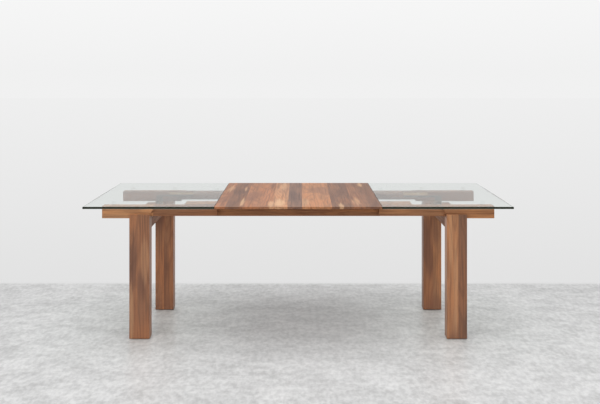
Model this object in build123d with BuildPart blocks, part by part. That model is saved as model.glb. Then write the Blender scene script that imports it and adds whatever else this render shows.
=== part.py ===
"""Extendable dining table: two glass-topped ends that slide on a centre frame, and a walnut leaf.

Millimetres, +Z up, X along the table, Y from front (-) to rear (+).
The origin is on the floor, under the middle of the table.
The table is modelled open, with the leaf in place.
"""
import os
from math import pi, radians, tan

from build123d import *

os.makedirs("parts", exist_ok=True)

# ---------------------------------------------------------------- table top
TABLE_HEIGHT = 760
TABLE_LENGTH = 2310
TABLE_DEPTH = 950
LEAF_LENGTH = 900            # along the table, the opening that the leaf fills
TOP_THICKNESS = 12           # of the glass plates and of the leaf panel
TOP_GAP = 1                  # between the leaf and each glass plate
GLASS_BEVEL = 1.2
LEAF_ROUND = 0.6
ENDS_IN_PER_LEAF_UP = 0.75   # how far each end has moved in when the leaf has risen by 1
UNDERCUT_CLEARANCE = 1       # past that, over the thickness of the leaf

# ------------------------------------------------------------ legs and crossbeams
LEG_WIDTH = 112              # along the table
LEG_DEPTH = 71
REBATE_DEPTH = 21            # of the arm's seat in the top of a leg
FRONT_LEG_INNER_X = 824      # inner side of a front leg, from the middle of the table
REAR_LEG_INSET = 47          # how much nearer to the middle the rear legs stand
LEG_OUTER_Y = 318            # outer face of a leg, from the middle of the table
LEG_ROUND = 1.2
CROSSBEAM_HEIGHT = 52
TENON_LENGTH = 20
TENON_HEIGHT = 28
TENON_SHOULDER = 14
TENON_FIT = 0.2

# --------------------------------------------------------------------- arms
ARM_END_X = 1090             # outer end of an arm, under the glass
ARM_DEPTH_Y = 59             # width of the deep outer part
ARM_OUTER_HEIGHT = 59
RAIL_DEPTH_Y = 43            # width of the shallower inner part, the rail
RAIL_HEIGHT = 49
ARM_SHOULDER_RUN = 22        # how far the arm's sloped shoulder leans in
REAR_ARM_PAST_LEG = 47       # how much further in than its leg the deep part of a rear arm goes
REBATE_FIT = 0.3
ARM_ROUND = 1.2
DOWEL_DIAMETER = 12
DOWEL_IN_LEG = 45
DOWEL_IN_ARM = 35
DOWEL_SPACING = 56
DOWEL_FIT = 0.05             # on the radius

# ------------------------------------------------------------- glass spacers
SPACER_DIAMETER = 24
SPACER_HEIGHT = 20           # from the arms up to the glass
SPACERS_PER_ARM = 3
SPACER_END_INSET = 60

# ------------------------------------------------------------- centre slides
SLIDE_LENGTH = 1280
SLIDE_HEIGHT = 60            # of the middle part, which shows under the leaf
SLIDE_DEEP_LENGTH = 920      # of that middle part, along its lower edge
SLIDE_STEP_RUN = 32          # from there the lower edge slopes up to the shallow ends
SLIDE_END_HEIGHT = 28
SLIDE_TO_ARM = 8             # air between a centre slide and the arms beside it
SLIDE_OUTER_WALL = 26
SLIDE_CAVITY = 48
SLIDE_INNER_WALL = 20
SLIDE_ROOF = 10
RUNNER_DROP = 15             # from the top of the slide down to the middle of the runner
RUNNER_HEIGHT = 14
RUNNER_IN_GROOVE = 12
RUNNER_FIT = 0.3
RUNNER_LENGTH = 350
RUNNER_SCREWS = 3
TIE_X = 250
TIE_WIDTH = 60
TIE_THICKNESS = 24
TIE_SCREW_SPACING = 30

# ----------------------------------------------------- racks and pinions
GEAR_MODULE = 2
PINION_TEETH = 14
GEAR_THICKNESS = 10
RACK_BACKING = 6
PRESSURE_ANGLE = radians(20)
BACKLASH = 0.5
TIP_CLEARANCE = 0.3
PINION_TIP_SHARE = 0.8       # a pinion tooth's tip is this much narrower than a rack tooth's
RACK_ROOF_GAP = 5            # from the slide's roof down to the racks
RACK_PAST_PINION = 22
BRACKET_LENGTH = 40          # along the rack
BRACKET_WIDTH = 30
BRACKET_BASE = 3             # thickness of the foot on the crossbeam
BRACKET_SCREW_SPACING = 20
PASSING_GAP = 2.6            # between the screws of a bracket and the slide that passes over them
AXLE_DIAMETER = 8
AXLE_FIT = 0.05              # on the radius
AXLE_HEAD_DIAMETER = 13
AXLE_HEAD_HEIGHT = 2.5
WASHER_DIAMETER = 15
SIDE_PLAY = 0.2

# ------------------------------------------------------------ leaf underside
BATTEN_WIDTH = 50
BATTEN_HEIGHT = 18
BATTEN_LENGTH = 600          # across the table
BATTEN_X = 380
PIN_DIAMETER = 8
PIN_FIT = 0.05               # on the radius, in the batten
PIN_IN_BATTEN = 9
PIN_IN_SLIDE = 9
PIN_HOLE_FIT = 0.3

# ------------------------------------------------------- fasteners and glides
SCREW_DIAMETER = 4
SCREW_IN_ARM = 22
SCREW_IN_TIE = 30
SCREW_IN_CROSSBEAM = 18
SCREW_HEAD_DIAMETER = 8
SCREW_HEAD_HEIGHT = 2.4
SCREW_FIT = 0.1
GLIDE_DIAMETER = 34
GLIDE_THICKNESS = 4
GLIDE_SPACING = 56

# ----------------------------------------------------------- worked-out sizes
END_X = LEAF_LENGTH / 2 + TOP_GAP              # inner end of glass plates and arms
TOP_UNDERSIDE = TABLE_HEIGHT - TOP_THICKNESS
LEAF_UNDERCUT = TOP_THICKNESS * ENDS_IN_PER_LEAF_UP + UNDERCUT_CLEARANCE
ARM_TOP = TOP_UNDERSIDE - SPACER_HEIGHT
ARM_BOTTOM = ARM_TOP - ARM_OUTER_HEIGHT
RAIL_BOTTOM = ARM_TOP - RAIL_HEIGHT
LEG_TOP = ARM_BOTTOM + REBATE_DEPTH
SLIDE_TOP = TOP_UNDERSIDE - BATTEN_HEIGHT
SLIDE_BOTTOM = SLIDE_TOP - SLIDE_HEIGHT
LEG_INNER_X = {-1: FRONT_LEG_INNER_X, 1: FRONT_LEG_INNER_X - REAR_LEG_INSET}
LEG_MIDDLE_X = {side: inner + LEG_WIDTH / 2 for side, inner in LEG_INNER_X.items()}
LEG_MIDDLE_Y = LEG_OUTER_Y - LEG_DEPTH / 2
LEG_INNER_Y = LEG_OUTER_Y - LEG_DEPTH
LEG_BOTTOM = GLIDE_THICKNESS
ARM_INNER_Y = LEG_INNER_Y
ARM_MIDDLE_Y = ARM_INNER_Y + RAIL_DEPTH_Y / 2
SHOULDER_X = {-1: LEG_INNER_X[-1], 1: LEG_INNER_X[1] - REAR_ARM_PAST_LEG}
SHARED_WIDTH = LEG_WIDTH - REAR_LEG_INSET            # what both legs of an end share
SHARED_MIDDLE_X = FRONT_LEG_INNER_X + SHARED_WIDTH / 2
CROSSBEAM_TOP = SLIDE_BOTTOM - PASSING_GAP - SCREW_HEAD_HEIGHT - BRACKET_BASE
CROSSBEAM_MIDDLE_Z = CROSSBEAM_TOP - CROSSBEAM_HEIGHT / 2
TENON_WIDTH = SHARED_WIDTH - 2 * TENON_SHOULDER

SLIDE_OUTER_Y = ARM_INNER_Y - SLIDE_TO_ARM
CAVITY_OUTER_Y = SLIDE_OUTER_Y - SLIDE_OUTER_WALL
CAVITY_INNER_Y = CAVITY_OUTER_Y - SLIDE_CAVITY
SLIDE_INNER_Y = CAVITY_INNER_Y - SLIDE_INNER_WALL
CAVITY_TOP = SLIDE_TOP - SLIDE_ROOF
SLIDE_MIDDLE_Z = SLIDE_BOTTOM + SLIDE_HEIGHT / 2
RUNNER_MIDDLE_Z = SLIDE_TOP - RUNNER_DROP
RUNNER_WIDTH = SLIDE_TO_ARM + RUNNER_IN_GROOVE
RUNNER_INNER_Y = ARM_INNER_Y - RUNNER_WIDTH
PIN_Y = (SLIDE_INNER_Y + CAVITY_INNER_Y) / 2
PINION_Y = (CAVITY_OUTER_Y + CAVITY_INNER_Y) / 2

PITCH = pi * GEAR_MODULE
PINION_RADIUS = GEAR_MODULE * PINION_TEETH / 2
TOOTH_TOP = GEAR_MODULE - TIP_CLEARANCE        # above the pitch line
TOOTH_FOOT = 1.25 * GEAR_MODULE                # below the pitch line
HALF_TOOTH = (PITCH - BACKLASH) / 4            # half a tooth's width on the pitch line
HALF_TIP = HALF_TOOTH - TOOTH_TOP * tan(PRESSURE_ANGLE)
HALF_FOOT = HALF_TOOTH + TOOTH_FOOT * tan(PRESSURE_ANGLE)
PINION_HALF_TIP = PINION_TIP_SHARE * HALF_TIP
PINION_HALF_FOOT = HALF_TOOTH
GEAR_BOTTOM = CAVITY_TOP - RACK_ROOF_GAP - GEAR_THICKNESS
RACK_OUTER_END = SHARED_MIDDLE_X + BRACKET_LENGTH / 2
RACK_BACK = PINION_RADIUS + TOOTH_FOOT + RACK_BACKING
BASE_TOP = CROSSBEAM_TOP + BRACKET_BASE

SIDES = {"front": -1, "rear": 1}
ENDS = {"left": -1, "right": 1}
BATTEN_XS = (-BATTEN_X, 0, BATTEN_X)


def save(name, part):
    """Label a finished piece and write it as parts/NAME.step."""
    part.label = name
    export_step(part, f"parts/{name}.step")


def gathered(name, solids):
    """Write several separate, alike solids as one group."""
    save(name, Compound(children=list(solids)))


# ------------------------------------------------------------------- top
def glass_plate(end):
    length = TABLE_LENGTH / 2 - END_X
    with BuildPart() as glass:
        with BuildSketch(Plane.XY.offset(TOP_UNDERSIDE)):
            with Locations((end * (END_X + length / 2), 0)):
                Rectangle(length, TABLE_DEPTH)
        extrude(amount=TOP_THICKNESS)
        chamfer(glass.edges().filter_by(Axis.Z, reverse=True), GLASS_BEVEL)
    return glass.part


def leaf_panel():
    """A board whose ends are undercut, so that it clears the glass as it is lifted out."""
    half = LEAF_LENGTH / 2
    with BuildPart() as panel:
        with BuildSketch(Plane.XZ.offset(-TABLE_DEPTH / 2)):
            with BuildLine():
                Polyline(
                    (-half, TABLE_HEIGHT), (half, TABLE_HEIGHT),
                    (half - LEAF_UNDERCUT, TOP_UNDERSIDE), (LEAF_UNDERCUT - half, TOP_UNDERSIDE),
                    close=True,
                )
            make_face()
        extrude(amount=TABLE_DEPTH)
        fillet(panel.faces().sort_by(Axis.Z)[-1].edges(), LEAF_ROUND)
    return panel.part


def leaf_batten(x):
    """A batten across the leaf; it rests on both centre slides."""
    with BuildPart() as batten:
        with BuildSketch(Plane.XY.offset(SLIDE_TOP)):
            with Locations((x, 0)):
                Rectangle(BATTEN_WIDTH, BATTEN_LENGTH)
        extrude(amount=BATTEN_HEIGHT)
        with BuildSketch(Plane.XY.offset(SLIDE_TOP)):
            with Locations(*[(x, side * PIN_Y) for side in SIDES.values()]):
                Circle(PIN_DIAMETER / 2 + PIN_FIT)
        extrude(amount=PIN_IN_BATTEN, mode=Mode.SUBTRACT)
    return batten.part


def locating_pin(x, side):
    with BuildPart() as pin:
        with BuildSketch(Plane.XY.offset(SLIDE_TOP - PIN_IN_SLIDE)):
            with Locations((x, side * PIN_Y)):
                Circle(PIN_DIAMETER / 2)
        extrude(amount=PIN_IN_SLIDE + PIN_IN_BATTEN)
        chamfer(pin.edges().sort_by(Axis.Z)[0], PIN_DIAMETER / 6)
    return pin.part


# --------------------------------------------------------- legs and crossbeams
def leg(side, end):
    """A post with a rebate for the arm in its top, a mortise, and dowel holes."""
    with BuildPart() as post:
        with BuildSketch(Plane.XY.offset(LEG_BOTTOM)):
            with Locations((end * LEG_MIDDLE_X[side], side * LEG_MIDDLE_Y)):
                Rectangle(LEG_WIDTH, LEG_DEPTH)
        extrude(amount=LEG_TOP - LEG_BOTTOM)
        fillet(post.edges().filter_by(Axis.Z), LEG_ROUND)
        with BuildSketch(Plane.XY.offset(ARM_BOTTOM)):
            with Locations((end * LEG_MIDDLE_X[side], side * (ARM_INNER_Y + ARM_DEPTH_Y / 2))):
                Rectangle(2 * LEG_WIDTH, ARM_DEPTH_Y + 2 * REBATE_FIT)
        extrude(amount=LEG_TOP - ARM_BOTTOM, mode=Mode.SUBTRACT)
        with BuildSketch(Plane.XZ.offset(-side * LEG_INNER_Y)):
            with Locations((end * SHARED_MIDDLE_X, CROSSBEAM_MIDDLE_Z)):
                Rectangle(TENON_WIDTH + 2 * TENON_FIT, TENON_HEIGHT + 2 * TENON_FIT)
        extrude(amount=-side * (TENON_LENGTH + TENON_FIT), mode=Mode.SUBTRACT)
        with BuildSketch(Plane.XY.offset(ARM_BOTTOM - DOWEL_IN_LEG)):
            with Locations(*dowel_places(side, end)):
                Circle(DOWEL_DIAMETER / 2 + DOWEL_FIT)
        extrude(amount=DOWEL_IN_LEG, mode=Mode.SUBTRACT)
    return post.part


def crossbeam(end):
    """As wide as a front leg; its tenons lie where the front and the rear leg overlap."""
    with BuildPart() as beam:
        with BuildSketch(Plane.XZ.offset(-LEG_INNER_Y)):
            with Locations((end * LEG_MIDDLE_X[-1], CROSSBEAM_MIDDLE_Z)):
                Rectangle(LEG_WIDTH, CROSSBEAM_HEIGHT)
        extrude(amount=2 * LEG_INNER_Y)
        fillet(beam.edges().filter_by(Axis.Y), ARM_ROUND)
        with BuildSketch(Plane.XZ.offset(-LEG_INNER_Y - TENON_LENGTH)):
            with Locations((end * SHARED_MIDDLE_X, CROSSBEAM_MIDDLE_Z)):
                Rectangle(TENON_WIDTH, TENON_HEIGHT)
        extrude(amount=2 * (LEG_INNER_Y + TENON_LENGTH))
        with BuildSketch(Plane.XY.offset(CROSSBEAM_TOP)):
            with Locations(*[place for side in SIDES.values() for place in bracket_screw_places(side, end)]):
                Circle(SCREW_DIAMETER / 2 + SCREW_FIT)
        extrude(amount=-SCREW_IN_CROSSBEAM - SCREW_FIT, mode=Mode.SUBTRACT)
    return beam.part


def dowel_places(side, end):
    middle_y = side * (ARM_INNER_Y + ARM_DEPTH_Y / 2)
    middle_x = end * LEG_MIDDLE_X[side]
    return [(middle_x + step * DOWEL_SPACING / 2, middle_y) for step in (-1, 1)]


def arm_dowel(place):
    with BuildPart() as dowel:
        with BuildSketch(Plane.XY.offset(ARM_BOTTOM - DOWEL_IN_LEG)):
            with Locations(place):
                Circle(DOWEL_DIAMETER / 2)
        extrude(amount=DOWEL_IN_LEG + DOWEL_IN_ARM)
    return dowel.part


def leg_glide(x, y):
    with BuildPart() as glide:
        with BuildSketch():
            with Locations((x, y)):
                Circle(GLIDE_DIAMETER / 2)
        extrude(amount=GLIDE_THICKNESS)
        chamfer(glide.edges().sort_by(Axis.Z)[0], GLIDE_THICKNESS / 4)
    return glide.part


# ---------------------------------------------------------------------- arms
def arm(side, end):
    """One long beam: a deep part over the leg, and a shallower rail in to the leaf."""
    shoulder_x = SHOULDER_X[side]
    outer_y = side * (ARM_INNER_Y + ARM_DEPTH_Y)
    with BuildPart() as beam:
        with BuildSketch(Plane.XY.offset(RAIL_BOTTOM)):
            with Locations((end * (END_X + ARM_END_X) / 2, side * ARM_MIDDLE_Y)):
                Rectangle(ARM_END_X - END_X, RAIL_DEPTH_Y)
        extrude(amount=RAIL_HEIGHT)
        with BuildSketch(Plane.XZ.offset(-outer_y)):
            with BuildLine():
                Polyline(
                    (end * shoulder_x, ARM_BOTTOM),
                    (end * ARM_END_X, ARM_BOTTOM),
                    (end * ARM_END_X, ARM_TOP),
                    (end * (shoulder_x - ARM_SHOULDER_RUN), ARM_TOP),
                    (end * shoulder_x, LEG_TOP),
                    close=True,
                )
            make_face()
        extrude(amount=side * ARM_DEPTH_Y)
        fillet(beam.faces().sort_by(Axis.X)[-1 if end > 0 else 0].edges(), ARM_ROUND)
        with BuildSketch(Plane.XY.offset(ARM_BOTTOM)):
            with Locations(*dowel_places(side, end)):
                Circle(DOWEL_DIAMETER / 2 + DOWEL_FIT)
        extrude(amount=DOWEL_IN_ARM, mode=Mode.SUBTRACT)
        with BuildSketch(Plane.XZ.offset(-side * ARM_INNER_Y)):
            with Locations(*[(x, RUNNER_MIDDLE_Z) for x in runner_screw_xs(end)]):
                Circle(SCREW_DIAMETER / 2 + SCREW_FIT)
        extrude(amount=-side * (SCREW_IN_ARM + SCREW_FIT), mode=Mode.SUBTRACT)
    return beam.part


def spacer_xs(end):
    first = END_X + SPACER_END_INSET
    last = ARM_END_X - SPACER_END_INSET
    step = (last - first) / (SPACERS_PER_ARM - 1)
    return [end * (first + step * number) for number in range(SPACERS_PER_ARM)]


def glass_spacer(x, side):
    with BuildPart() as spacer:
        with BuildSketch(Plane.XY.offset(ARM_TOP)):
            with Locations((x, side * ARM_MIDDLE_Y)):
                Circle(SPACER_DIAMETER / 2)
        extrude(amount=SPACER_HEIGHT)
    return spacer.part


# ------------------------------------------------------------- centre slides
def centre_slide(side):
    """A channel, open below, with a groove for the runners in its outer side and shallower ends."""
    groove = RUNNER_HEIGHT / 2 + RUNNER_FIT
    groove_y = SLIDE_OUTER_Y - RUNNER_IN_GROOVE - RUNNER_FIT
    with BuildPart() as slide:
        with BuildSketch(Plane.YZ.offset(-SLIDE_LENGTH / 2)):
            with BuildLine():
                Polyline(
                    (side * SLIDE_OUTER_Y, SLIDE_BOTTOM),
                    (side * SLIDE_OUTER_Y, RUNNER_MIDDLE_Z - groove),
                    (side * groove_y, RUNNER_MIDDLE_Z - groove),
                    (side * groove_y, RUNNER_MIDDLE_Z + groove),
                    (side * SLIDE_OUTER_Y, RUNNER_MIDDLE_Z + groove),
                    (side * SLIDE_OUTER_Y, SLIDE_TOP),
                    (side * SLIDE_INNER_Y, SLIDE_TOP),
                    (side * SLIDE_INNER_Y, SLIDE_BOTTOM),
                    (side * CAVITY_INNER_Y, SLIDE_BOTTOM),
                    (side * CAVITY_INNER_Y, CAVITY_TOP),
                    (side * CAVITY_OUTER_Y, CAVITY_TOP),
                    (side * CAVITY_OUTER_Y, SLIDE_BOTTOM),
                    close=True,
                )
            make_face()
        extrude(amount=SLIDE_LENGTH)
        with BuildSketch(Plane.XZ.offset(-side * SLIDE_OUTER_Y)):
            for end in ENDS.values():
                with BuildLine():
                    Polyline(
                        (end * SLIDE_DEEP_LENGTH / 2, SLIDE_BOTTOM),
                        (end * (SLIDE_DEEP_LENGTH / 2 + SLIDE_STEP_RUN), SLIDE_TOP - SLIDE_END_HEIGHT),
                        (end * SLIDE_LENGTH / 2, SLIDE_TOP - SLIDE_END_HEIGHT),
                        (end * SLIDE_LENGTH / 2, SLIDE_BOTTOM),
                        close=True,
                    )
                make_face()
        extrude(amount=side * (SLIDE_OUTER_Y - SLIDE_INNER_Y), mode=Mode.SUBTRACT)
        with BuildSketch(Plane.XY.offset(CAVITY_TOP)):
            with Locations((0, side * PINION_Y)):
                Circle(AXLE_DIAMETER / 2 + AXLE_FIT)
        extrude(amount=SLIDE_ROOF, mode=Mode.SUBTRACT)
        with BuildSketch(Plane.XY.offset(SLIDE_TOP)):
            with Locations(*[(x, side * PIN_Y) for x in BATTEN_XS]):
                Circle(PIN_DIAMETER / 2 + PIN_HOLE_FIT)
        extrude(amount=-PIN_IN_SLIDE - PIN_HOLE_FIT, mode=Mode.SUBTRACT)
        with BuildSketch(Plane.XZ.offset(-side * SLIDE_INNER_Y)):
            with Locations(*[(x, SLIDE_MIDDLE_Z) for x in tie_screw_xs(-1) + tie_screw_xs(1)]):
                Circle(SCREW_DIAMETER / 2 + SCREW_FIT)
        extrude(amount=-side * SLIDE_INNER_WALL, mode=Mode.SUBTRACT)
        with BuildSketch(Plane.XZ.offset(-side * CAVITY_INNER_Y)):
            with Locations(*[(x, SLIDE_MIDDLE_Z) for x in tie_screw_xs(-1) + tie_screw_xs(1)]):
                Circle(SCREW_HEAD_DIAMETER / 2 + SCREW_FIT)
        extrude(amount=side * (SCREW_HEAD_HEIGHT + SCREW_FIT), mode=Mode.SUBTRACT)
    return slide.part


def slide_runner(side, end):
    """A hardwood tongue on the arm's inner face; it runs in the centre slide's groove."""
    with BuildPart() as runner:
        with BuildSketch(Plane.XY.offset(RUNNER_MIDDLE_Z - RUNNER_HEIGHT / 2)):
            with Locations((end * (END_X + RUNNER_LENGTH / 2), side * (ARM_INNER_Y - RUNNER_WIDTH / 2))):
                Rectangle(RUNNER_LENGTH, RUNNER_WIDTH)
        extrude(amount=RUNNER_HEIGHT)
        with BuildSketch(Plane.XZ.offset(-side * RUNNER_INNER_Y)):
            with Locations(*[(x, RUNNER_MIDDLE_Z) for x in runner_screw_xs(end)]):
                Circle(SCREW_DIAMETER / 2 + SCREW_FIT)
        extrude(amount=-side * RUNNER_WIDTH, mode=Mode.SUBTRACT)
        with BuildSketch(Plane.XZ.offset(-side * RUNNER_INNER_Y)):
            with Locations(*[(x, RUNNER_MIDDLE_Z) for x in runner_screw_xs(end)]):
                Circle(SCREW_HEAD_DIAMETER / 2 + SCREW_FIT)
        extrude(amount=-side * (SCREW_HEAD_HEIGHT + SCREW_FIT), mode=Mode.SUBTRACT)
    return runner.part


def runner_screw_xs(end):
    step = RUNNER_LENGTH / RUNNER_SCREWS
    return [end * (END_X + step * (number + 0.5)) for number in range(RUNNER_SCREWS)]


def tie_screw_xs(end):
    return [end * TIE_X + step * TIE_SCREW_SPACING / 2 for step in (-1, 1)]


def centre_tie(end):
    """Joins the front and rear slides; screws enter its ends."""
    with BuildPart() as tie:
        with BuildSketch(Plane.XY.offset(SLIDE_MIDDLE_Z - TIE_THICKNESS / 2)):
            with Locations((end * TIE_X, 0)):
                Rectangle(TIE_WIDTH, 2 * SLIDE_INNER_Y)
        extrude(amount=TIE_THICKNESS)
        for side in SIDES.values():
            with BuildSketch(Plane.XZ.offset(-side * SLIDE_INNER_Y)):
                with Locations(*[(x, SLIDE_MIDDLE_Z) for x in tie_screw_xs(end)]):
                    Circle(SCREW_DIAMETER / 2 + SCREW_FIT)
            extrude(amount=side * (SCREW_IN_TIE + SCREW_FIT), mode=Mode.SUBTRACT)
    return tie.part


def screw(head, length):
    """A wood screw: its head lies on the plane, towards +Z of it, and its shank runs the other way."""
    with BuildPart() as fastener:
        with BuildSketch(head):
            Circle(SCREW_HEAD_DIAMETER / 2)
        extrude(amount=SCREW_HEAD_HEIGHT)
        with BuildSketch(head):
            Circle(SCREW_DIAMETER / 2)
        extrude(amount=-length)
    return fastener.part


# -------------------------------------------------------- racks and pinions
def rack(side, end):
    """The left rack runs along the outer wall of the cavity, the right one along the inner."""
    away = -end * side           # the direction in Y from the pinion to this rack
    tip_y = side * PINION_Y + away * (PINION_RADIUS - TOOTH_TOP)
    foot_y = side * PINION_Y + away * (PINION_RADIUS + TOOTH_FOOT)
    back_y = side * PINION_Y + away * RACK_BACK
    inner_end = -end * RACK_PAST_PINION
    outer_end = end * RACK_OUTER_END
    length = abs(outer_end - inner_end)
    first = int(-RACK_PAST_PINION / PITCH)
    last = int((LEAF_LENGTH / 2 + RACK_PAST_PINION) / PITCH)
    with BuildPart() as bar:
        with BuildSketch(Plane.XY.offset(GEAR_BOTTOM)):
            with Locations(((inner_end + outer_end) / 2, (foot_y + back_y) / 2)):
                Rectangle(length, abs(back_y - foot_y))
            with Locations(*[(end * PITCH * number, 0) for number in range(first, last + 1)]):
                Polygon(
                    (-HALF_FOOT, foot_y), (HALF_FOOT, foot_y), (HALF_TIP, tip_y), (-HALF_TIP, tip_y),
                    align=None,
                )
        extrude(amount=GEAR_THICKNESS)
    return bar.part


def pinion(side):
    """A spur gear on a vertical axle, turned so that a gap faces each rack's tooth at x = 0."""
    tip_radius = PINION_RADIUS + TOOTH_TOP
    foot_radius = PINION_RADIUS - TOOTH_FOOT
    with BuildPart() as gear:
        with BuildSketch(Plane.XY.offset(GEAR_BOTTOM)):
            with Locations((0, side * PINION_Y)):
                Circle(foot_radius)
                with PolarLocations(0, PINION_TEETH, start_angle=90 + 180 / PINION_TEETH):
                    Polygon(
                        (AXLE_DIAMETER / 2 + AXLE_FIT, -PINION_HALF_FOOT), (foot_radius, -PINION_HALF_FOOT),
                        (tip_radius, -PINION_HALF_TIP), (tip_radius, PINION_HALF_TIP),
                        (foot_radius, PINION_HALF_FOOT), (AXLE_DIAMETER / 2 + AXLE_FIT, PINION_HALF_FOOT),
                        align=None,
                    )
                Circle(AXLE_DIAMETER / 2 + AXLE_FIT, mode=Mode.SUBTRACT)
        extrude(amount=GEAR_THICKNESS)
    return gear.part


def pinion_axle(side):
    head_top = GEAR_BOTTOM - SIDE_PLAY
    with BuildPart() as axle:
        with BuildSketch(Plane.XY.offset(head_top - AXLE_HEAD_HEIGHT)):
            with Locations((0, side * PINION_Y)):
                Circle(AXLE_HEAD_DIAMETER / 2)
        extrude(amount=AXLE_HEAD_HEIGHT)
        with BuildSketch(Plane.XY.offset(head_top)):
            with Locations((0, side * PINION_Y)):
                Circle(AXLE_DIAMETER / 2)
        extrude(amount=SLIDE_TOP - head_top)
    return axle.part


def pinion_washer(side):
    """Fills the space between the pinion and the roof of the slide, less its play."""
    with BuildPart() as washer:
        with BuildSketch(Plane.XY.offset(GEAR_BOTTOM + GEAR_THICKNESS + SIDE_PLAY)):
            with Locations((0, side * PINION_Y)):
                Circle(WASHER_DIAMETER / 2)
                Circle(AXLE_DIAMETER / 2 + AXLE_FIT, mode=Mode.SUBTRACT)
        extrude(amount=CAVITY_TOP - GEAR_BOTTOM - GEAR_THICKNESS - SIDE_PLAY)
    return washer.part


def bracket_lug_y(side, end):
    """The middle of the lug, under the back of its rack."""
    away = -end * side
    return side * PINION_Y + away * (RACK_BACK - RACK_BACKING / 2)


def bracket_base_y(side, end):
    """The middle of the foot, which reaches from the lug towards the pinion's line."""
    away = -end * side
    return bracket_lug_y(side, end) - away * (BRACKET_WIDTH - RACK_BACKING) / 2


def bracket_screw_places(side, end):
    """On the free part of the foot, beside the lug."""
    away = -end * side
    y = bracket_base_y(side, end) - away * RACK_BACKING / 2
    return [(end * SHARED_MIDDLE_X + step * BRACKET_SCREW_SPACING / 2, y) for step in (-1, 1)]


def rack_bracket(side, end):
    """A steel angle on the crossbeam: a screwed foot, and a lug that carries the rack's end."""
    x = end * SHARED_MIDDLE_X
    with BuildPart() as bracket:
        with BuildSketch(Plane.XY.offset(CROSSBEAM_TOP)):
            with Locations((x, bracket_base_y(side, end))):
                Rectangle(BRACKET_LENGTH, BRACKET_WIDTH)
            with Locations(*bracket_screw_places(side, end)):
                Circle(SCREW_DIAMETER / 2 + SCREW_FIT, mode=Mode.SUBTRACT)
        extrude(amount=BRACKET_BASE)
        with BuildSketch(Plane.XY.offset(BASE_TOP)):
            with Locations((x, bracket_lug_y(side, end))):
                Rectangle(BRACKET_LENGTH, RACK_BACKING)
        extrude(amount=GEAR_BOTTOM - BASE_TOP)
    return bracket.part


# ---------------------------------------------------------------- all pieces
def across(x, y, z, out):
    """A plane at (x, y, z) that faces out, -1 to the front or 1 to the rear."""
    return Plane(origin=(x, y, z), x_dir=(1, 0, 0), z_dir=(0, out, 0))


def runner_screws(side, end):
    """Their heads are let into the runner, flush with its inner face."""
    head_y = side * (RUNNER_INNER_Y + SCREW_HEAD_HEIGHT)
    length = RUNNER_WIDTH - SCREW_HEAD_HEIGHT + SCREW_IN_ARM
    return [screw(across(x, head_y, RUNNER_MIDDLE_Z, -side), length) for x in runner_screw_xs(end)]


def bracket_screws(side, end):
    length = BRACKET_BASE + SCREW_IN_CROSSBEAM
    return [screw(Plane((x, y, BASE_TOP)), length) for x, y in bracket_screw_places(side, end)]


def tie_screws(side, end):
    """Their heads are let into the slide's inner wall, flush with the cavity."""
    head_y = side * (CAVITY_INNER_Y - SCREW_HEAD_HEIGHT)
    length = SLIDE_INNER_WALL - SCREW_HEAD_HEIGHT + SCREW_IN_TIE
    return [screw(across(x, head_y, SLIDE_MIDDLE_Z, side), length) for x in tie_screw_xs(end)]


def leg_glides(side, end):
    places = [end * LEG_MIDDLE_X[side] + step * GLIDE_SPACING / 2 for step in (-1, 1)]
    return [leg_glide(x, side * LEG_MIDDLE_Y) for x in places]


for end_name, end in ENDS.items():
    save(f"{end_name}_glass_plate", glass_plate(end))
    save(f"{end_name}_crossbeam", crossbeam(end))
    save(f"{end_name}_centre_tie", centre_tie(end))
    for side_name, side in SIDES.items():
        corner = f"{side_name}_{end_name}"
        save(f"{corner}_leg", leg(side, end))
        save(f"{corner}_arm", arm(side, end))
        save(f"{corner}_slide_runner", slide_runner(side, end))
        save(f"{corner}_rack", rack(side, end))
        save(f"{corner}_rack_bracket", rack_bracket(side, end))
    both = list(SIDES.values())
    gathered(f"{end_name}_arm_dowels", [arm_dowel(p) for side in both for p in dowel_places(side, end)])
    gathered(f"{end_name}_glass_spacers", [glass_spacer(x, side) for side in both for x in spacer_xs(end)])
    gathered(f"{end_name}_runner_screws", [s for side in both for s in runner_screws(side, end)])
    gathered(f"{end_name}_bracket_screws", [s for side in both for s in bracket_screws(side, end)])
    gathered(f"{end_name}_leg_glides", [g for side in both for g in leg_glides(side, end)])

for side_name, side in SIDES.items():
    save(f"{side_name}_centre_slide", centre_slide(side))
    save(f"{side_name}_pinion", pinion(side))
    save(f"{side_name}_pinion_axle", pinion_axle(side))
    save(f"{side_name}_pinion_washer", pinion_washer(side))

corners = [(side, end) for side in SIDES.values() for end in ENDS.values()]
gathered("tie_screws", [s for side, end in corners for s in tie_screws(side, end)])
gathered("leaf_locating_pins", [locating_pin(x, side) for side in SIDES.values() for x in BATTEN_XS])
gathered("leaf_battens", [leaf_batten(x) for x in BATTEN_XS])
save("leaf_panel", leaf_panel())
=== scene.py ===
# %% [markdown]
# # Dressing an extendable dining table
# The table comes from CAD as forty-eight pieces of real size: two glass ends on walnut legs,
# a walnut leaf between them, and the wooden slides, racks and pinions that let the ends close.
# This lesson gives those pieces their finishes, replaces the plain screws by detailed ones,
# and sets up a small studio. The other CAD shapes stay as they are, because they are right
# already.

# %% Load the frame
import math

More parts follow.
